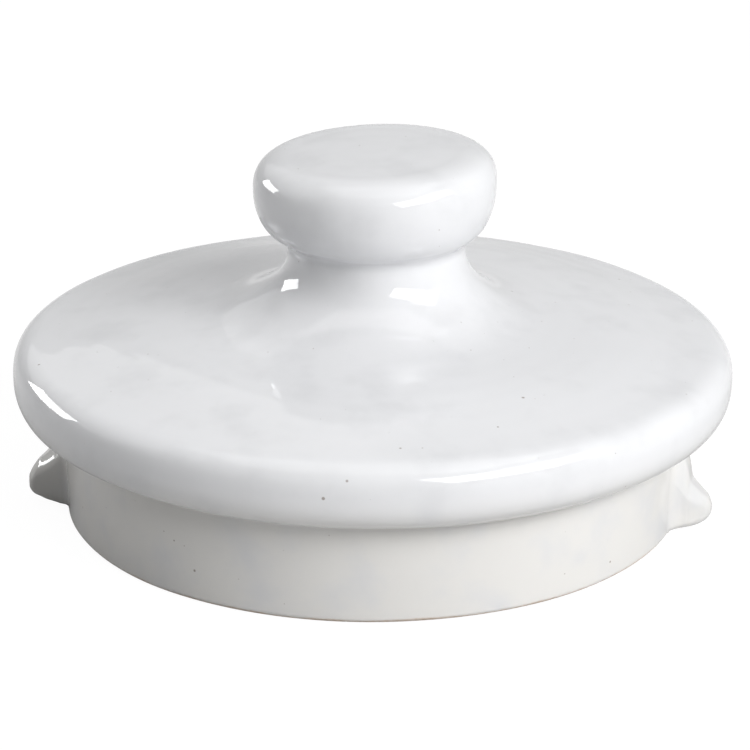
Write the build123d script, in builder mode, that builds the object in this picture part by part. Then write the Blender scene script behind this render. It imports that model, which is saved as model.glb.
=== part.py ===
from build123d import *
import os

# Glazed stoneware pot lid: a domed cover with a rolled rim, a turned knob on top,
# a locating skirt underneath and two locking lugs on the skirt.
# Millimetres. +Z is up, the foot of the skirt stands on z = 0 and the turning axis is Z.
# The lugs stand out to the right (+X) and the left (-X), each a little towards the front (-Y).

# Cover and its rolled rim
rim_radius = 50.0              # widest point of the rim
rim_upper = 4.6                # from the widest point up to the edge of the dome
rim_lower = 5.35               # from the widest point down to the seat
rim_crown_width = 3.0          # width over which the rim rolls into the dome
rim_shoulder_fullness = 1.5    # upright reach of the curve above the widest point
rim_crown_fullness = 2.5       # sideways reach of the same curve at the dome
rim_belly_fullness = 4.2       # upright reach of the curve below the widest point
rim_seat_fullness = 0.6        # sideways reach of that curve at the seat
seat_width = 2.3               # flat ring under the rim that rests on the pot
dome_rise = 3.55               # from the edge of the dome up to where the flare meets it
dome_bulge = 0.3               # how far the dome stands above a straight cone
cover_wall = 6.0               # clay between the dome and the ceiling inside
ceiling_bulge = 0.5            # how far the ceiling is domed inside
ceiling_radius = 2.0           # hollow rounding where the ceiling meets the inner wall
cove_radius = 2.0              # hollow rounding between seat and skirt

# Skirt
skirt_radius = 43.1            # outside of the locating skirt
skirt_wall = 4.5               # clay between the outside and the inside of the skirt
skirt_drop = 14.6              # from the foot up to the seat under the rim
stub_height = 2.6              # short wall on the cover that the skirt is luted to
foot_rounding = 0.8            # rounding on both edges of the foot

# Knob
flare_reach = 11.2             # from the neck out to where the flare meets the dome
flare_angle = 42.0             # slope of the flare at the foot of the knob, in degrees
flare_fullness = 3.3           # reach of the curve of the flare at both its ends
knob_foot_height = 4.1         # from the dome up to the foot of the knob
knob_foot_reach = 2.4          # how far that foot stands out from the neck
sweep_height = 5.15            # from the foot of the knob up to the neck
sweep_fullness = 2.05          # reach of the curve between them at both its ends
neck_radius = 12.25            # waist below the knob
neck_height = 1.8              # from the end of that curve up to the underside of the knob
knob_under_radius = 1.5        # hollow rounding between neck and underside
knob_under_flat = 0.15         # flat ring of the underside outside that rounding
knob_radius = 16.7             # widest point of the knob
knob_lower = 7.25              # from the underside up to the widest point
knob_upper = 4.35              # from the widest point up to the edge of the top
knob_top_width = 3.75          # width of the rounding at the top
knob_top_bulge = 0.3           # how far the top is domed

# Locking lugs
lug_forward_angle = 6.5        # turn of each lug from the X axis towards the front, in degrees
lug_reach = 5.5                # how far a lug stands out from the skirt
lug_foot_gap = 0.3             # underside of a lug above the foot, at the skirt
lug_height = 11.9              # height of a lug at the skirt
lug_root_width = 14.0          # width of a lug at the skirt, along its underside
lug_crest_width = 3.4          # width of a lug along its top
lug_waist_reach = 3.0          # how far out its top has come down to the waist
lug_waist_gap = 0.7            # underside of a lug above the foot, at its waist
lug_waist_height = 4.9         # height of a lug at its waist
lug_waist_width = 8.6          # width of a lug at its waist, along its underside
lug_tip_gap = 1.2              # underside of a lug above the foot, at its tip
lug_tip_height = 2.4           # height of the blunt tip
lug_tip_width = 3.8            # width of the blunt tip
lug_edge_radius = 1.0          # rounding of a lug's edges

# Heights and radii that follow
rim_height = skirt_drop + rim_lower
dome_edge_height = rim_height + rim_upper
dome_edge_radius = rim_radius - rim_crown_width
dome_top_height = dome_edge_height + dome_rise
stub_bottom = skirt_drop - stub_height
skirt_inner_radius = skirt_radius - skirt_wall
flare_radius = neck_radius + flare_reach
flare_direction = Vector(1, 0, 0).rotate(Axis.Z, -flare_angle)
knob_foot = Vector(neck_radius + knob_foot_reach, dome_top_height + knob_foot_height)
neck_level = knob_foot.Y + sweep_height
knob_under_level = neck_level + neck_height
knob_under_edge_radius = neck_radius + knob_under_radius + knob_under_flat
knob_widest_level = knob_under_level + knob_lower
knob_edge_level = knob_widest_level + knob_upper
quarter_ellipse = 0.5523       # share of a radius that bends a curve into a quarter ellipse
knob_under_pull_radius = knob_under_edge_radius + (knob_radius - knob_under_edge_radius) * quarter_ellipse


def corner(section, x, y):
    """The corner of a section that lies nearest to (x, y)."""
    return section.vertices().sort_by_distance((x, y))[0]


# Cover: dome, rolled rim, seat, stub wall and ceiling, turned about Z
dome_slope = dome_rise / (dome_edge_radius - flare_radius)
ceiling_level = dome_top_height - cover_wall
ceiling_edge_level = ceiling_level - dome_slope * (skirt_inner_radius - flare_radius)

with BuildPart() as cover:
    with BuildSketch(Plane.XZ) as cover_section:
        with BuildLine():
            Line((0, knob_foot.Y), knob_foot)
            dome = SagittaArc(
                (flare_radius, dome_top_height), (dome_edge_radius, dome_edge_height), dome_bulge
            )
            Bezier(
                knob_foot,
                knob_foot + flare_direction * flare_fullness,
                dome @ 0 - (dome % 0) * flare_fullness,
                dome @ 0,
            )
            Bezier(
                dome @ 1,
                dome @ 1 + (dome % 1) * rim_crown_fullness,
                (rim_radius, rim_height + rim_shoulder_fullness),
                (rim_radius, rim_height),
            )
            belly = Bezier(
                (rim_radius, rim_height),
                (rim_radius, rim_height - rim_belly_fullness),
                (skirt_radius + seat_width + rim_seat_fullness, skirt_drop),
                (skirt_radius + seat_width, skirt_drop),
            )
            Polyline(
                belly @ 1,
                (skirt_radius, skirt_drop),
                (skirt_radius, stub_bottom),
                (skirt_inner_radius, stub_bottom),
                (skirt_inner_radius, ceiling_edge_level),
            )
            SagittaArc(
                (skirt_inner_radius, ceiling_edge_level), (flare_radius, ceiling_level), -ceiling_bulge
            )
            Polyline((flare_radius, ceiling_level), (0, ceiling_level), (0, knob_foot.Y))
        make_face()
        fillet(corner(cover_section, skirt_radius, skirt_drop), cove_radius)
        fillet(corner(cover_section, skirt_inner_radius, ceiling_edge_level), ceiling_radius)
    revolve(axis=Axis.Z)

# Skirt: a plain ring, luted to the stub wall and rounded at its foot
with BuildPart() as skirt:
    with BuildSketch(Plane.XZ) as skirt_section:
        with Locations((skirt_inner_radius, 0)):
            Rectangle(skirt_wall, stub_bottom, align=Align.MIN)
        fillet(skirt_section.vertices().group_by(Axis.Y)[0], foot_rounding)
    revolve(axis=Axis.Z)

# Knob: swept foot, neck and flat-topped grip, turned in one piece
with BuildPart() as knob:
    with BuildSketch(Plane.XZ) as knob_section:
        with BuildLine():
            Line((0, knob_foot.Y), knob_foot)
            Bezier(
                knob_foot,
                knob_foot - flare_direction * sweep_fullness,
                (neck_radius, neck_level - sweep_fullness),
                (neck_radius, neck_level),
            )
            Polyline(
                (neck_radius, neck_level),
                (neck_radius, knob_under_level),
                (knob_under_edge_radius, knob_under_level),
            )
            Bezier(
                (knob_under_edge_radius, knob_under_level),
                (knob_under_pull_radius, knob_under_level),
                (knob_radius, knob_widest_level - knob_lower * quarter_ellipse),
                (knob_radius, knob_widest_level),
            )
            top = TangentArc(
                (0, knob_edge_level + knob_top_bulge),
                (knob_radius - knob_top_width, knob_edge_level),
                tangent=(1, 0),
            )
            Bezier(
                top @ 1,
                top @ 1 + (top % 1) * knob_top_width * quarter_ellipse,
                (knob_radius, knob_widest_level + knob_upper * quarter_ellipse),
                (knob_radius, knob_widest_level),
            )
            Line(top @ 0, (0, knob_foot.Y))
        make_face()
        fillet(corner(knob_section, neck_radius, knob_under_level), knob_under_radius)
    revolve(axis=Axis.Z)

# Lugs: a thorn that tapers from a wide root to a blunt tip, cut to the skirt it is luted to
lug_end = skirt_radius + lug_reach
lug_root = (skirt_radius**2 - (lug_root_width / 2) ** 2) ** 0.5 - lug_edge_radius
lug_direction = Vector(1, 0, 0).rotate(Axis.Z, -lug_forward_angle)


def lug_plane(distance):
    """The upright plane across a lug, this far from the turning axis."""
    return Plane(lug_direction * distance, x_dir=Axis.Z.direction.cross(lug_direction), z_dir=lug_direction)


def lug_corners(bottom, height, bottom_width, top_width):
    """The corners of a symmetric four-sided section across a lug."""
    return (
        (-bottom_width / 2, bottom),
        (bottom_width / 2, bottom),
        (top_width / 2, bottom + height),
        (-top_width / 2, bottom + height),
    )


with BuildPart() as lug_right:
    with BuildSketch(lug_plane(lug_root)):
        Polygon(*lug_corners(lug_foot_gap, lug_height, lug_root_width, lug_crest_width), align=None)
    with BuildSketch(lug_plane(skirt_radius + lug_waist_reach)):
        Polygon(*lug_corners(lug_waist_gap, lug_waist_height, lug_waist_width, lug_crest_width), align=None)
    with BuildSketch(lug_plane(lug_end)):
        Polygon(*lug_corners(lug_tip_gap, lug_tip_height, lug_tip_width, lug_crest_width), align=None)
    loft()
    root_face = lug_right.faces().sort_by_distance(lug_direction * lug_root)[0]
    fillet(lug_right.edges() - root_face.edges(), lug_edge_radius)
    with BuildSketch(Plane.XY):
        Circle(skirt_radius)
    extrude(amount=lug_foot_gap + lug_height, mode=Mode.SUBTRACT)

with BuildPart() as lug_left:
    mirror(lug_right.part, about=Plane.YZ)

os.makedirs("parts", exist_ok=True)
pieces = {"cover": cover, "skirt": skirt, "knob": knob, "lug_right": lug_right, "lug_left": lug_left}
for name, piece in pieces.items():
    piece.part.label = name
    export_step(piece.part, f"parts/{name}.step")
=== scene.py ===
import math

import bpy
from mathutils import Matrix, Vector


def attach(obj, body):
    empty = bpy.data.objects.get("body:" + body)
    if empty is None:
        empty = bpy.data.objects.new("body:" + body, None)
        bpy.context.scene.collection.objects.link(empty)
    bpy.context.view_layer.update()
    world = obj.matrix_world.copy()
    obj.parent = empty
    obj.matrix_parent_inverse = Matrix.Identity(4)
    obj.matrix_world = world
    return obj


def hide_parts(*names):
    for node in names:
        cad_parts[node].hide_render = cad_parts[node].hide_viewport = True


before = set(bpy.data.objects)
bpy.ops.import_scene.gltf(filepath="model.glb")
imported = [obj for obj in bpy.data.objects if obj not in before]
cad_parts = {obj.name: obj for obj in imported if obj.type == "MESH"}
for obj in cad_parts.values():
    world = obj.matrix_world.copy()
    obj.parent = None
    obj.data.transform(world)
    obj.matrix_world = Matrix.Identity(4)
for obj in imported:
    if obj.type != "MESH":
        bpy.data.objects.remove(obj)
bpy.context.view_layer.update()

millimetre = 0.001
weldDistance = 0.000002    # points of a turned piece that lie this close become one
crispCorner = 38.0         # degrees, edges that bend more than this stay crisp


class Wire:
    # an output socket; sums and products written on it add Math nodes to its tree
    def __init__(self, tree, node, socket):
        self.tree, self.node, self.socket = tree, node, socket

    def out(self, name):
        return Wire(self.tree, self.node, self.node.outputs[name])

    def __add__(self, other):
        return self.tree.maths("ADD", self, other)

    __radd__ = __add__

    def __sub__(self, other):
        return self.tree.maths("SUBTRACT", self, other)

    def __rsub__(self, other):
        return self.tree.maths("SUBTRACT", other, self)

    def __mul__(self, other):
        return self.tree.maths("MULTIPLY", self, other)

    __rmul__ = __mul__

    def __truediv__(self, other):
        return self.tree.maths("DIVIDE", self, other)

    def __rtruediv__(self, other):
        return self.tree.maths("DIVIDE", other, self)


class Tree:
    def __init__(self, nodes):
        self.nodes = nodes

    def add(self, kind, settings=None, inputs=None, output=0):
        node = self.nodes.nodes.new(kind)
        for name, value in (settings or {}).items():
            setattr(node, name, value)
        for socket, value in (inputs or {}).items():
            if isinstance(value, Wire):
                self.nodes.links.new(value.socket, node.inputs[socket])
            else:
                node.inputs[socket].default_value = value
        return Wire(self, node, node.outputs[output] if node.outputs else None)

    def maths(self, operation, *values):
        return self.add("ShaderNodeMath", dict(operation=operation), dict(enumerate(values)))

    def vectors(self, operation, *values, output=0):
        return self.add("ShaderNodeVectorMath", dict(operation=operation),
                        dict(enumerate(values)), output)

    def smooth(self, value, low, high):
        # 0 up to low, 1 from high on and a soft step between them
        return self.add("ShaderNodeMapRange", dict(interpolation_type="SMOOTHSTEP"),
                        {"Value": value, "From Min": low, "From Max": high})

    def noise(self, place, size, seed, detail=2.0, output="Fac"):
        return self.add("ShaderNodeTexNoise", dict(noise_dimensions="4D"),
                        {"Vector": place, "W": seed, "Scale": 1 / size, "Detail": detail}, output)

    def mixColours(self, factor, first, second):
        return self.add("ShaderNodeMix", dict(data_type="RGBA"),
                        {0: factor, 6: first, 7: second}, output=2)


# Sections are lists of points in millimetres: from the turning axis, and above the foot.

def superArc(centre, width, height, fullness, start, end, steps):
    # part of a squarish ellipse, from one angle to another in degrees
    points = []
    for step in range(steps + 1):
        angle = math.radians(start + (end - start) * step / steps)
        c, s = math.cos(angle), math.sin(angle)
        points.append((
            centre[0] + width * math.copysign(abs(c) ** (2 / fullness), c),
            centre[1] + height * math.copysign(abs(s) ** (2 / fullness), s),
        ))
    return points


def rounding(before, corner, after, radius, steps):
    # the arc that rounds a corner of a section
    corner = Vector(corner)
    inward = (Vector(before) - corner).normalized()
    onward = (Vector(after) - corner).normalized()
    half = inward.angle(onward) / 2
    centre = corner + (inward + onward).normalized() * radius / math.sin(half)
    start = corner + inward * radius / math.tan(half) - centre
    end = corner + onward * radius / math.tan(half) - centre
    turn = start.angle_signed(end)
    return [
        tuple(centre + Matrix.Rotation(-turn * step / steps, 2) @ start)
        for step in range(steps + 1)
    ]


def straight(start, end, steps):
    # points along a straight run, without its ends
    return [tuple(Vector(start).lerp(Vector(end), step / steps)) for step in range(1, steps)]


def downhill(slope):
    # one millimetre outwards along a slope, in degrees below the horizontal
    return Vector((math.cos(math.radians(slope)), -math.sin(math.radians(slope))))


def sweep(start, startSlope, end, endSlope, reach, steps):
    # a curve that leaves one point and arrives at another along given slopes
    a, d = Vector(start), Vector(end)
    b, c = a + downhill(startSlope) * reach, d - downhill(endSlope) * reach
    # a very short first and last step keep the shading even where two pieces meet
    places = [0, 0.004] + [step / steps for step in range(1, steps)] + [0.996, 1]
    return [
        tuple(a * (1 - t) ** 3 + b * 3 * t * (1 - t) ** 2 + c * 3 * t * t * (1 - t) + d * t ** 3)
        for t in places
    ]


# Soft clay departs a little from true when it is turned, cut and luted.
wobble = dict(
    coverTilt=0.35,       # degrees, the rim hangs lower on the right
    coverPitch=0.35,      # degrees, the rim hangs lower at the front
    knobTilt=-2.3,        # degrees, the knob's top stands higher on the right
    knobPitch=1.4,        # degrees, the knob's top falls to the front
    neckShift=0.5,        # millimetres, the neck stands to the right of the axis
    knobShift=-0.2,       # millimetres, the knob stands back to the left from there
    unevenness=0.10,      # millimetres
    unevenSize=22.0,      # millimetres across one swelling
    seed=4.0,
)
# Each of these begins at the first height and is complete at the second, in millimetres above the foot.
wobbleHeights = dict(cover=(11.0, 20.0), neck=(28.5, 33.5), knob=(36.0, 46.0), foot=(0.5, 6.0))
clayInputs = {
    "Cover tilt": -math.radians(wobble["coverTilt"]),
    "Cover pitch": math.radians(wobble["coverPitch"]),
    "Knob tilt": -math.radians(wobble["knobTilt"]),
    "Knob pitch": math.radians(wobble["knobPitch"]),
    "Neck shift": wobble["neckShift"] * millimetre,
    "Knob shift": wobble["knobShift"] * millimetre,
    "Unevenness": wobble["unevenness"] * millimetre,
    "Swelling size": wobble["unevenSize"] * millimetre,
    "Seed": wobble["seed"],
}


def newGroup(name):
    # geometry in, geometry out, and one number for each of the clay's inputs
    group = bpy.data.node_groups.new(name, "GeometryNodeTree")
    group.interface.new_socket("Geometry", in_out="INPUT", socket_type="NodeSocketGeometry")
    group.interface.new_socket("Geometry", in_out="OUTPUT", socket_type="NodeSocketGeometry")
    for label in clayInputs:
        group.interface.new_socket(label, in_out="INPUT", socket_type="NodeSocketFloat")
    return group


def handMadeGroup():
    # moves every piece's points by one and the same field, so the pieces stay joined
    group = newGroup("handMade")
    tree = Tree(group)
    entry = tree.add("NodeGroupInput")
    place = tree.add("GeometryNodeInputPosition")
    split = tree.add("ShaderNodeSeparateXYZ", inputs={0: place})
    x, y, z = split.out("X"), split.out("Y"), split.out("Z")
    overFoot, overCover, overNeck, overKnob = (
        tree.smooth(z, *(height * millimetre for height in wobbleHeights[name]))
        for name in ("foot", "cover", "neck", "knob")
    )
    lift = x * (entry.out("Knob tilt") * overKnob + entry.out("Cover tilt") * overCover)
    lift = lift + y * (entry.out("Knob pitch") * overKnob + entry.out("Cover pitch") * overCover)
    slide = entry.out("Neck shift") * overNeck + entry.out("Knob shift") * overKnob
    swelling = tree.noise(place, entry.out("Swelling size"), entry.out("Seed"), 1.0, "Color")
    bumpy = tree.vectors("SUBTRACT", swelling, (0.5, 0.5, 0.5))
    # the noise strays about a quarter from its middle, so this brings it up to the wanted unevenness
    bumpy = tree.add("ShaderNodeVectorMath", dict(operation="SCALE"),
                     {0: bumpy, "Scale": entry.out("Unevenness") * 4.0})
    # the foot stays level, so that the lid stands flat
    footHold = tree.add("ShaderNodeCombineXYZ", inputs={0: 1.0, 1: 1.0, 2: overFoot})
    leaning = tree.add("ShaderNodeCombineXYZ", inputs={0: slide, 2: lift})
    offset = tree.vectors("ADD", leaning, tree.vectors("MULTIPLY", bumpy, footHold))
    moved = tree.add("GeometryNodeSetPosition",
                     inputs={"Geometry": entry.out("Geometry"), "Offset": offset})
    tree.add("NodeGroupOutput", inputs={0: moved})
    return group


def openTree(name, extras=()):
    # a tree for one way of making a piece, with the shared inputs and those of its own
    group = newGroup(name)
    group.interface.new_socket("Material", in_out="INPUT", socket_type="NodeSocketMaterial")
    for label, kind in extras:
        group.interface.new_socket(label, in_out="INPUT", socket_type=kind)
    tree = Tree(group)
    return tree, tree.add("NodeGroupInput")


def finishTree(tree, geometry, entry, handMade):
    # the shared end of both trees: uneven clay, smooth faces with crisp corners, one material
    uneven = tree.add("GeometryNodeGroup", dict(node_tree=handMade),
                      {"Geometry": geometry, **{name: entry.out(name) for name in clayInputs}})
    smoothed = tree.add("GeometryNodeSetShadeSmooth", inputs={"Geometry": uneven, "Shade Smooth": True})
    bend = tree.add("GeometryNodeInputMeshEdgeAngle")
    crisp = tree.add("FunctionNodeCompare", dict(data_type="FLOAT", operation="GREATER_THAN"),
                     {"A": bend, "B": math.radians(crispCorner)})
    sharp = tree.add("GeometryNodeStoreNamedAttribute", dict(data_type="BOOLEAN", domain="EDGE"),
                     {"Geometry": smoothed, "Name": "sharp_edge", "Value": crisp})
    real = tree.add("GeometryNodeRealizeInstances", inputs={"Geometry": sharp})
    shown = tree.add("GeometryNodeSetMaterial",
                     inputs={"Geometry": real, "Material": entry.out("Material")})
    tree.add("NodeGroupOutput", inputs={0: shown})
    return tree.nodes


def turnedTree(handMade):
    # turns a section, a chain of points in the XZ plane, about Z
    tree, entry = openTree("turnedClay", [("Segments", "NodeSocketInt")])
    section, segments = entry.out("Geometry"), entry.out("Segments")
    count = tree.add("GeometryNodeAttributeDomainSize", dict(component="MESH"), {"Geometry": section})
    grid = tree.add("GeometryNodeMeshGrid", inputs={"Vertices X": segments + 1, "Vertices Y": count})
    index = tree.add("GeometryNodeInputIndex")
    point = tree.add("GeometryNodeSampleIndex", dict(data_type="FLOAT_VECTOR", domain="POINT"),
                     {"Geometry": section, "Value": tree.add("GeometryNodeInputPosition"),
                      "Index": tree.maths("MODULO", index, count)})
    angle = tree.maths("FLOOR", index / count) / segments * (2 * math.pi)
    turned = tree.add("ShaderNodeVectorRotate", dict(rotation_type="Z_AXIS"),
                      {"Vector": point, "Angle": angle})
    placed = tree.add("GeometryNodeSetPosition", inputs={"Geometry": grid, "Position": turned})
    closed = tree.add("GeometryNodeMergeByDistance", inputs={"Geometry": placed, "Distance": weldDistance})
    return finishTree(tree, closed, entry, handMade)


def lutedTree(handMade):
    # a modelled piece goes through the same unevenness as the turned ones
    tree, entry = openTree("lutedClay")
    return finishTree(tree, entry.out("Geometry"), entry, handMade)


def meshOf(name, points, edges=(), faces=()):
    mesh = bpy.data.meshes.new(name)
    mesh.from_pydata([tuple(c * millimetre for c in point) for point in points], edges, faces)
    return mesh


def makePiece(name, mesh, group, material, node, extras=None):
    # runs a tree on a mesh and leaves its result as a plain mesh object in the part's frame
    piece = bpy.data.objects.new(name, mesh)
    bpy.context.collection.objects.link(piece)
    modifier = piece.modifiers.new("clay", "NODES")
    modifier.node_group = group
    wanted = {**clayInputs, "Material": material, **(extras or {})}
    for item in group.interface.items_tree:
        if item.in_out == "INPUT" and item.name in wanted:
            modifier[item.identifier] = wanted[item.name]
    bpy.context.view_layer.update()
    shaped = piece.evaluated_get(bpy.context.evaluated_depsgraph_get())
    plain = bpy.data.meshes.new_from_object(shaped)
    piece.modifiers.clear()
    piece.data = plain
    plain.name = name
    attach(piece, "root")
    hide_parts(node)
    print(name, len(plain.vertices), "points")


# Lengths are in millimetres. A scatter of dots is the size of its grid's cells, the share of the cells
# that hold a dot, and the radius of a middling dot.
glaze = dict(
    # the cover's slight blue is a painted reflection of a bluish sky light from the back left
    cover=(0.70, 0.705, 0.72, 1), skirt=(0.70, 0.69, 0.67, 1),
    toneHeights=(13.0, 21.0),           # the skirt's tone below the first, the cover's above the second
    patch=(0.63, 0.635, 0.65, 1),       # where the glaze lies thinner
    patchShare=0.75, patchSize=8.0, patchEdge=(0.45, 0.75),
    speck=(0.20, 0.16, 0.13, 1),        # iron specks from the clay
    speckStrength=0.75,
    specks=(3.0, 0.12, 0.24),
    fineSpecks=(1.5, 0.20, 0.10), fineStrength=0.6,
    speckShift=(13.7, 7.1, 2.3),        # slides the specks over the lid, to try another scatter
    bareClay=(0.42, 0.25, 0.13, 1),
    bareHeight=0.45,                    # bare clay above the foot
    bareWander=0.9, bareWanderSize=6.0, bareFade=(0.12, 0.16),
    claySize=0.8, grain=0.05, grainSize=0.4,
    ripple=0.035, rippleSize=9.0,       # in the surface of the glaze
    throwing=0.012, throwingStep=3.6,   # rings left by the wheel
    throwingWander=1.5, throwingWanderSize=30.0,
    pinholes=(1.9, 0.12, 0.12), pinholeDepth=0.04,
    roughness=0.045, patchRoughness=0.03, bareRoughness=0.6,
    refraction=1.5,
)


def speckle(tree, place, scatter):
    # round dots with a soft edge, from half to one and a half times the radius
    size, share, radius = scatter[0] * millimetre, scatter[1], scatter[2] * millimetre
    cells = tree.add("ShaderNodeTexVoronoi", inputs={"Vector": place, "Scale": 1 / size})
    chance = tree.add("ShaderNodeSeparateColor", inputs={0: cells.out("Color")})
    reach = radius * (0.5 + chance.out("Green"))
    dot = 1 - tree.smooth(cells.out("Distance") * size, reach * 0.55, reach)
    return dot * tree.smooth(chance.out("Red"), 1 - share, 1.001 - share)


def glazeMaterial(v):
    material = bpy.data.materials.new("whiteGlaze")
    material.use_nodes = True
    material.node_tree.nodes.clear()
    tree = Tree(material.node_tree)
    place = tree.add("ShaderNodeTexCoord").out("Object")
    split = tree.add("ShaderNodeSeparateXYZ", inputs={0: place})
    z = split.out("Z")
    radius = tree.maths("SQRT", split.out("X") * split.out("X") + split.out("Y") * split.out("Y"))

    low, high = v["toneHeights"]
    # above the tone heights the cover's tone, whose blue is a painted reflection of sky light
    colour = tree.mixColours(tree.smooth(z, low * millimetre, high * millimetre), v["skirt"], v["cover"])
    clouds = tree.smooth(tree.noise(place, v["patchSize"] * millimetre, 1.0, 3.0), *v["patchEdge"])
    colour = tree.mixColours(clouds * v["patchShare"], colour, v["patch"])

    drawn = tree.vectors("ADD", place, tuple(length * millimetre for length in v["speckShift"]))
    specks = tree.maths("MAXIMUM", speckle(tree, drawn, v["specks"]),
                        speckle(tree, drawn, v["fineSpecks"]) * v["fineStrength"])
    colour = tree.mixColours(specks * v["speckStrength"], colour, v["speck"])

    wander = (tree.noise(place, v["bareWanderSize"] * millimetre, 2.0) - 0.5) * (v["bareWander"] * millimetre)
    edge = v["bareHeight"] * millimetre + wander
    below, above = v["bareFade"]
    bare = 1 - tree.smooth(z, edge - below * millimetre, edge + above * millimetre)
    clay = tree.mixColours(tree.noise(place, v["claySize"] * millimetre, 3.0), v["bareClay"], v["skirt"])
    colour = tree.mixColours(bare, colour, clay)

    ripple = tree.noise(place, v["rippleSize"] * millimetre, 4.0, 1.0) * (v["ripple"] * millimetre)
    wander = tree.noise(place, v["throwingWanderSize"] * millimetre, 5.0) * v["throwingWander"]
    phase = radius / (v["throwingStep"] * millimetre) + wander
    rings = tree.maths("SINE", phase * (2 * math.pi)) * (v["throwing"] * 0.5 * millimetre)
    pits = speckle(tree, place, v["pinholes"]) * (v["pinholeDepth"] * millimetre)
    grain = bare * tree.noise(place, v["grainSize"] * millimetre, 6.0) * (v["grain"] * millimetre)
    normal = tree.add("ShaderNodeBump", inputs={
        "Height": ripple + rings + grain - pits, "Distance": 1.0, "Strength": 1.0})

    roughness = v["roughness"] + clouds * v["patchRoughness"] + bare * v["bareRoughness"]
    surface = tree.add("ShaderNodeBsdfPrincipled", inputs={
        "Base Color": colour, "Roughness": roughness, "Normal": normal, "IOR": v["refraction"]})
    tree.add("ShaderNodeOutputMaterial", inputs={"Surface": surface})
    return material


handMade = handMadeGroup()
turnedClay = turnedTree(handMade)
lutedClay = lutedTree(handMade)
whiteGlaze = glazeMaterial(glaze)
print("clay and glaze ready")

# The pieces are in millimetres too. Each has its own counts of steps along the parts of its section.
flare = dict(
    end=(23.45, 28.1), endSlope=8.6,     # where it meets the dome
    seam=(14.65, 32.2), seamSlope=42.0,  # where the knob is luted on
    neck=(12.25, 37.35),
    reach=3.3, neckReach=2.05, steps=24,
)
skirt = dict(top=43.2, foot=43.1, inner=38.6, height=12.0, footRounding=0.8,
             wallSteps=16, roundingSteps=12)
cover = dict(
    rimRadius=50.0, rimLevel=19.95,
    shoulderWidth=6.5, shoulderHeight=4.78, shoulderFullness=3.0,
    bellyWidth=8.2, bellyHeight=5.55, bellyFullness=2.62,
    domeEdge=(46.4, 24.585), domeBulge=0.3,
    coveRadius=2.0, coveDip=0.15,        # hollow under the rim, and how far the seat falls towards it
    ceiling=22.1, ceilingEdge=19.8, ceilingFlat=20.0, ceilingRound=2.0,
    seamSteps=6, domeSteps=40, shoulderSteps=36, bellySteps=60, coveSteps=16, ceilingSteps=24,
    segments=256,                        # round the axis, for the skirt and the knob as well
)
knob = dict(
    radius=16.7, level=46.4, topWidth=5.5, topHeight=4.35, topFullness=2.5, topBulge=0.3,
    underWidth=4.2, underHeight=7.25, underFullness=2.08, underEnd=-68.0, underRound=1.9,
    topSteps=24, shoulderSteps=36, underSteps=40, roundingSteps=14,
)
seamStep = 0.02   # a first short step beside a seam keeps the shading of the wall even


def coverSection(v, f, wall):
    seam = f["seam"]
    points = [(0, seam[1])] + straight((0, seam[1]), seam, v["seamSteps"])
    points += sweep(seam, f["seamSlope"], f["end"], f["endSlope"], f["reach"], f["steps"])
    # the dome stands a little above a straight cone
    edge = v["domeEdge"]
    points += [
        (r, z + v["domeBulge"] * math.sin(math.pi * (r - f["end"][0]) / (edge[0] - f["end"][0])) ** 2)
        for r, z in straight(f["end"], edge, v["domeSteps"])
    ]
    rise = math.asin(((edge[1] - v["rimLevel"]) / v["shoulderHeight"]) ** (v["shoulderFullness"] / 2))
    shoulder = (v["rimRadius"] - v["shoulderWidth"], v["rimLevel"])
    points += superArc(shoulder, v["shoulderWidth"], v["shoulderHeight"], v["shoulderFullness"],
                       math.degrees(rise), 0, v["shoulderSteps"])
    belly = (v["rimRadius"] - v["bellyWidth"], v["rimLevel"])
    under = superArc(belly, v["bellyWidth"], v["bellyHeight"], v["bellyFullness"],
                     0, -89, v["bellySteps"])[1:]
    # the belly ends just before the cove, which leads down to the skirt's wall
    outer, inner, low, cove = wall["top"], wall["inner"], wall["height"], v["coveRadius"]
    points += [point for point in under if point[0] > outer + cove + 0.05]
    points += rounding(points[-1], (outer, points[-1][1] - v["coveDip"]), (outer, low), cove, v["coveSteps"])
    points += [(outer, low + seamStep), (outer, low), (inner, low), (inner, low + seamStep)]
    points += rounding((inner, low), (inner, v["ceilingEdge"]), (v["ceilingFlat"], v["ceiling"]),
                       v["ceilingRound"], wall["roundingSteps"])
    return points + straight(points[-1], (0, v["ceiling"]), v["ceilingSteps"]) + [(0, v["ceiling"])]


def skirtSection(v):
    top, rounded = v["height"], v["footRounding"]
    outer, inner = (v["foot"], 0), (v["inner"], 0)
    points = [(v["top"], top), (v["top"], top - seamStep)]
    points += straight(points[-1], (v["foot"], rounded), v["wallSteps"])
    points += rounding((v["foot"], top), outer, inner, rounded, v["roundingSteps"])
    points += rounding(outer, inner, (v["inner"], top), rounded, v["roundingSteps"])
    points += straight((v["inner"], rounded), (v["inner"], top - seamStep), v["wallSteps"])
    return points + [(v["inner"], top - seamStep), (v["inner"], top), (v["top"], top)]


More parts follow.
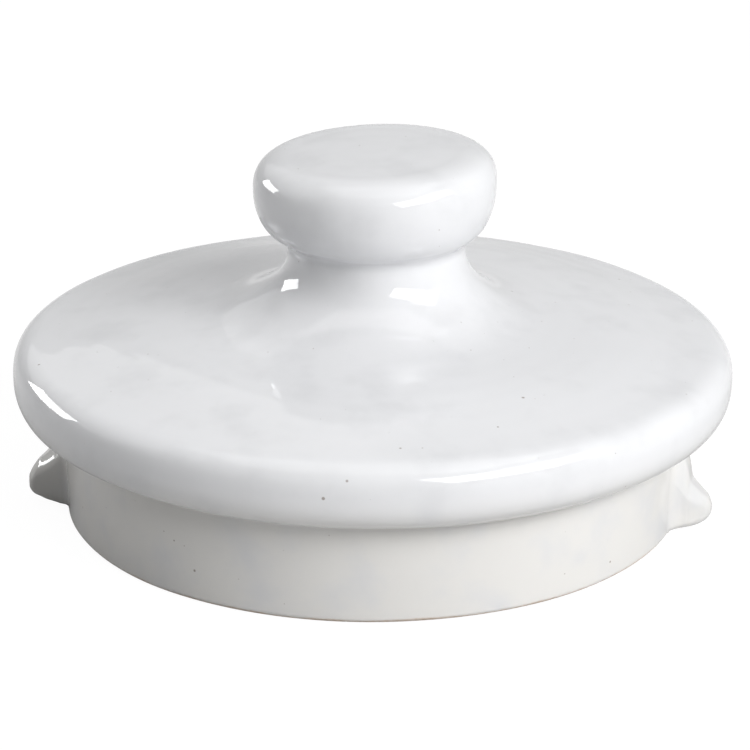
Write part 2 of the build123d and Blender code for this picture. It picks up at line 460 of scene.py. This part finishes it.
def knobSection(v, f):
    edge = v["level"] + v["topHeight"]
    inner = v["radius"] - v["topWidth"]
    points = [(0, edge + v["topBulge"])]
    for step in range(1, v["topSteps"]):
        r = inner * step / v["topSteps"]
        points.append((r, edge + v["topBulge"] * (1 - (r / inner) ** 2)))
    points += superArc((inner, v["level"]), v["topWidth"], v["topHeight"], v["topFullness"],
                       90, 0, v["shoulderSteps"])
    points += superArc((v["radius"] - v["underWidth"], v["level"]), v["underWidth"], v["underHeight"],
                       v["underFullness"], 0, v["underEnd"], v["underSteps"])[1:]
    # straight on from there to the neck, with the corner rounded
    (r, z), (beyond, above) = points[-1], points[-2]
    corner = (f["neck"][0], z - (above - z) * (r - f["neck"][0]) / (beyond - r))
    points += rounding(points[-1], corner, f["neck"], v["underRound"], v["roundingSteps"])
    points += sweep(f["neck"], 90.0, f["seam"], f["seamSlope"], f["neckReach"], f["steps"])
    return points + [(0, f["seam"][1])]


def turnedPiece(name, section, node):
    mesh = meshOf(name, [(r, 0, z) for r, z in section])
    makePiece(name, mesh, turnedClay, whiteGlaze, node, {"Segments": cover["segments"]})


turnedPiece("coverDome", coverSection(cover, flare, skirt), "cover")
turnedPiece("skirtRing", skirtSection(skirt), "skirt")
turnedPiece("knobGrip", knobSection(knob, flare), "knob")

# A station is a section across a lug: its distance from the skirt, the levels of its underside, of the
# edges along its flanks and of its top, and half its width along each of the three. The top leans
# towards one flank by a share of the room there, and a hollow as wide as given runs round the root.
lugs = dict(
    left=dict(turn=187.0, reach=5.5, edge=0.6, hollow=1.1, lean=-0.8, stations=[
        (0.0, 0.35, 8.0, 11.4, 3.4, 3.2, 2.0), (0.6, 0.35, 7.7, 10.4, 3.1, 3.2, 1.9),
        (1.2, 0.35, 7.4, 9.1, 2.8, 3.1, 1.5), (1.7, 0.4, 7.0, 8.1, 2.4, 3.0, 1.2),
        (2.3, 0.45, 6.6, 7.4, 2.0, 2.8, 1.0), (3.2, 0.6, 5.9, 6.6, 1.6, 2.3, 0.8),
        (4.0, 0.9, 5.3, 5.95, 1.3, 1.8, 0.7), (4.7, 1.2, 4.4, 5.1, 1.2, 1.4, 0.65),
        (5.5, 1.7, 3.1, 4.1, 0.9, 0.9, 0.6)]),
    right=dict(turn=-8.0, reach=5.05, edge=0.9, hollow=1.2, lean=0.0, stations=[
        (0.0, 0.35, 7.6, 11.4, 4.6, 4.2, 2.8), (0.7, 0.35, 7.0, 11.0, 4.0, 3.8, 2.6),
        (1.3, 0.35, 6.0, 10.2, 3.5, 3.4, 2.3), (1.75, 0.38, 5.4, 8.8, 3.2, 3.2, 1.9),
        (2.1, 0.4, 5.1, 6.9, 3.0, 3.0, 1.5), (2.8, 0.5, 4.6, 6.0, 2.6, 2.6, 1.3),
        (3.6, 0.7, 4.0, 5.2, 2.1, 2.1, 1.2), (4.4, 1.1, 3.3, 4.5, 1.6, 1.6, 1.1),
        (5.05, 1.4, 2.7, 3.8, 1.1, 1.1, 0.75)]),
)


def stationAt(stations, reach):
    # a lug's section at any distance from the skirt, on a smooth curve through its stations
    last = len(stations) - 1
    spot = min(max(sum(reach >= station[0] for station in stations) - 1, 0), last - 1)
    t = (reach - stations[spot][0]) / (stations[spot + 1][0] - stations[spot][0])
    around = [stations[min(max(spot + k, 0), last)] for k in (-1, 0, 1, 2)]
    section = []
    for a, b, c, d in zip(*(row[1:] for row in around)):
        section.append(b + t / 2 * (c - a + t * (2 * a - 5 * b + 4 * c - d + t * (3 * (b - c) + d - a))))
    return section


lugFineness = dict(
    sunk=0.6,         # millimetres that a lug reaches into the skirt, so that no gap shows
    seam=0.03,        # the last ring inside the skirt
    spread=0.5,       # how much wider the root is in there than the hollow makes it
    turnStep=9,       # degrees between the rings of the hollow and of the tip
    rings=26,         # along the straight part
    arcSteps=6, sideSteps=6,
    lowest=0.08,      # no point lies lower, so that the lid stands on its foot
    tipShare=0.98,    # of its edge's rounding by which the tip closes
)


def lugRing(section, edge, lean, grow):
    # a rounded six-sided outline across a lug, widened except along its underside or narrowed all round
    bottom, flank, top, halfBottom, halfFlank, halfTop = section
    shift = lean * (halfFlank - halfTop)
    corners = [(-halfBottom, bottom), (halfBottom, bottom), (halfFlank, flank),
               (shift + halfTop, top), (shift - halfTop, top), (-halfFlank, flank)]
    outline = []
    for spot, corner in enumerate(corners):
        softness = 2 if spot in (2, 5) else 1   # the edges along the flanks are rounded more
        arc = rounding(corners[spot - 1], corner, corners[(spot + 1) % len(corners)], edge * softness,
                       lugFineness["arcSteps"])
        if outline:
            outline += straight(outline[-1], arc[0], lugFineness["sideSteps"])
        outline += arc
    outline += straight(outline[-1], outline[0], lugFineness["sideSteps"])
    ring = []
    for spot, (s, z) in enumerate(outline):
        ahead, behind = outline[(spot + 1) % len(outline)], outline[spot - 1]
        normal = Vector((ahead[1] - behind[1], behind[0] - ahead[0])).normalized()
        share = grow * (1 - max(0, -normal.y)) if grow > 0 else grow
        ring.append((s + normal.x * share, max(z + normal.y * share, lugFineness["lowest"])))
    return ring


def lugMesh(name, v, wall):
    # rings from inside the skirt to the tip, each at a distance and widened or narrowed by some amount
    hollow, edge, fine = v["hollow"], v["edge"], lugFineness
    rings = [(-fine["sunk"], hollow + fine["spread"]), (-fine["seam"], hollow + fine["spread"])]
    for degrees in range(0, 91, fine["turnStep"]):
        a = math.radians(degrees)
        rings.append((hollow * (1 - math.cos(a)), hollow * (1 - math.sin(a))))
    start, end = hollow, v["reach"] - edge
    rings += [(start + (end - start) * step / fine["rings"], 0) for step in range(1, fine["rings"] + 1)]
    for degrees in range(fine["turnStep"], 91, fine["turnStep"]):
        a = math.radians(degrees)
        rings.append((end + edge * math.sin(a), -edge * (1 - math.cos(a)) * fine["tipShare"]))
    turn = math.radians(v["turn"])
    out, along = (math.cos(turn), math.sin(turn)), (-math.sin(turn), math.cos(turn))
    points, faces = [], []
    for distance, grow in rings:
        for s, z in lugRing(stationAt(v["stations"], max(distance, 0)), edge, v["lean"], grow):
            # the skirt's wall leans out a little towards its top
            radius = wall["foot"] + (wall["top"] - wall["foot"]) * z / wall["height"]
            deep = math.sqrt(radius ** 2 - s ** 2) + distance
            points.append((out[0] * deep + along[0] * s, out[1] * deep + along[1] * s, z))
    around = len(points) // len(rings)
    for level in range(len(rings) - 1):
        for spot in range(around):
            a, b = level * around + spot, level * around + (spot + 1) % around
            faces.append((a, b, b + around, a + around))
    faces.append(tuple(range(around))[::-1])
    faces.append(tuple(range(len(points) - around, len(points))))
    return meshOf(name, points, faces=faces)


for side, values in lugs.items():
    makePiece(side + "Lug", lugMesh(side + "Lug", values, skirt), lutedClay, whiteGlaze, "lug_" + side)

# From here on lengths are in metres, but the lens and the sensor are in millimetres. Turn and rise give
# a direction in degrees.
studio = dict(
    cameraDistance=0.400, cameraTurn=-85.0, cameraRise=19.98, aim=0.01995,
    lens=136.98, sensor=36.0, shiftX=0.0029, shiftY=-0.0155, clipStart=0.01,
    lampDistance=0.8, lampAim=0.03,
    floor=(0.57, 0.57, 0.57, 1), floorReach=4.0,
    white=1.12, backgroundShare=0.85,    # of the floor seen as white background
    mirrored=0.72,                       # share of the background that the glaze mirrors
    mirrorFade=(0.045, 0.11),            # from the axis, where the floor's mirrored white begins
)
# A softbox has a turn, a rise, a width, a height, a roll in degrees and a power in watts.
softboxes = dict(
    frontRight=(-46, 29, 0.54, 0.29, 13, 6.1),
    right=(-20, 36, 0.40, 0.35, 0, 1.6),
    backLeft=(154, 17, 0.36, 0.20, 0, 2.0),
    backHigh=(150, 48, 1.20, 0.90, 0, 1.4),
    overhead=(0, 89, 0.80, 0.80, 0, 2.2),
)


def direction(turn, rise):
    turn, rise = math.radians(turn), math.radians(rise)
    return Vector((math.cos(turn) * math.cos(rise), math.sin(turn) * math.cos(rise), math.sin(rise)))


def softbox(v, name, turn, rise, width, height, roll, power):
    lamp = bpy.data.lights.new(name, "AREA")
    lamp.shape = "RECTANGLE"
    lamp.size, lamp.size_y = width, height
    lamp.energy = power
    box = bpy.data.objects.new(name, lamp)
    bpy.context.collection.objects.link(box)
    way = direction(turn, rise)
    box.location = Vector((0, 0, v["lampAim"])) + way * v["lampDistance"]
    facing = way.to_track_quat("Z", "Y").to_matrix() @ Matrix.Rotation(math.radians(roll), 3, "Z")
    box.rotation_euler = facing.to_euler()


def backgroundShown(tree, mirrored):
    # 1 where the camera looks straight at the background, less where the glaze mirrors it and 0 for
    # the light that falls on the lid
    path = tree.add("ShaderNodeLightPath")
    seen = tree.maths("MAXIMUM", path.out("Is Camera Ray"), path.out("Is Transmission Ray"))
    return tree.maths("MAXIMUM", seen, path.out("Is Glossy Ray") * mirrored)


def buildFloor(v):
    far = v["floorReach"]
    mesh = bpy.data.meshes.new("floor")
    mesh.from_pydata([(-far, -far, 0), (far, -far, 0), (far, far, 0), (-far, far, 0)], [], [(0, 1, 2, 3)])
    floor = bpy.data.objects.new("floor", mesh)
    bpy.context.collection.objects.link(floor)
    material = bpy.data.materials.new("paleFloor")
    material.use_nodes = True
    material.node_tree.nodes.clear()
    tree = Tree(material.node_tree)
    lit = tree.add("ShaderNodeBsdfDiffuse", inputs={"Color": v["floor"]})
    white = tree.add("ShaderNodeEmission", inputs={"Color": (1, 1, 1, 1), "Strength": v["white"]})
    # close to the lid the glaze mirrors the lit floor itself
    away = tree.vectors("LENGTH", tree.add("ShaderNodeTexCoord").out("Object"), output=1)
    mirrored = tree.smooth(away, *v["mirrorFade"]) * v["mirrored"]
    seen = backgroundShown(tree, mirrored) * v["backgroundShare"]
    shown = tree.add("ShaderNodeMixShader", inputs={0: seen, 1: lit, 2: white})
    tree.add("ShaderNodeOutputMaterial", inputs={"Surface": shown})
    mesh.materials.append(material)


def buildWorld(v):
    world = bpy.data.worlds.new("studio")
    bpy.context.scene.world = world
    world.use_nodes = True
    world.node_tree.nodes.clear()
    tree = Tree(world.node_tree)
    sky = tree.add("ShaderNodeBackground", inputs={
        "Color": (1, 1, 1, 1), "Strength": backgroundShown(tree, v["mirrored"])})
    tree.add("ShaderNodeOutputWorld", inputs={"Surface": sky})


def buildCamera(v):
    camera = bpy.data.objects.new("camera", bpy.data.cameras.new("camera"))
    bpy.context.collection.objects.link(camera)
    way = direction(v["cameraTurn"], v["cameraRise"])
    camera.location = Vector((0, 0, v["aim"])) + way * v["cameraDistance"]
    camera.rotation_euler = way.to_track_quat("Z", "Y").to_euler()
    camera.data.lens = v["lens"]
    camera.data.sensor_width = v["sensor"]
    camera.data.shift_x, camera.data.shift_y = v["shiftX"], v["shiftY"]
    camera.data.clip_start = v["clipStart"]
    bpy.context.scene.camera = camera


for name, values in softboxes.items():
    softbox(studio, name, *values)
buildFloor(studio)
buildWorld(studio)
buildCamera(studio)
bpy.context.scene.view_settings.view_transform = "Standard"
print("studio ready")
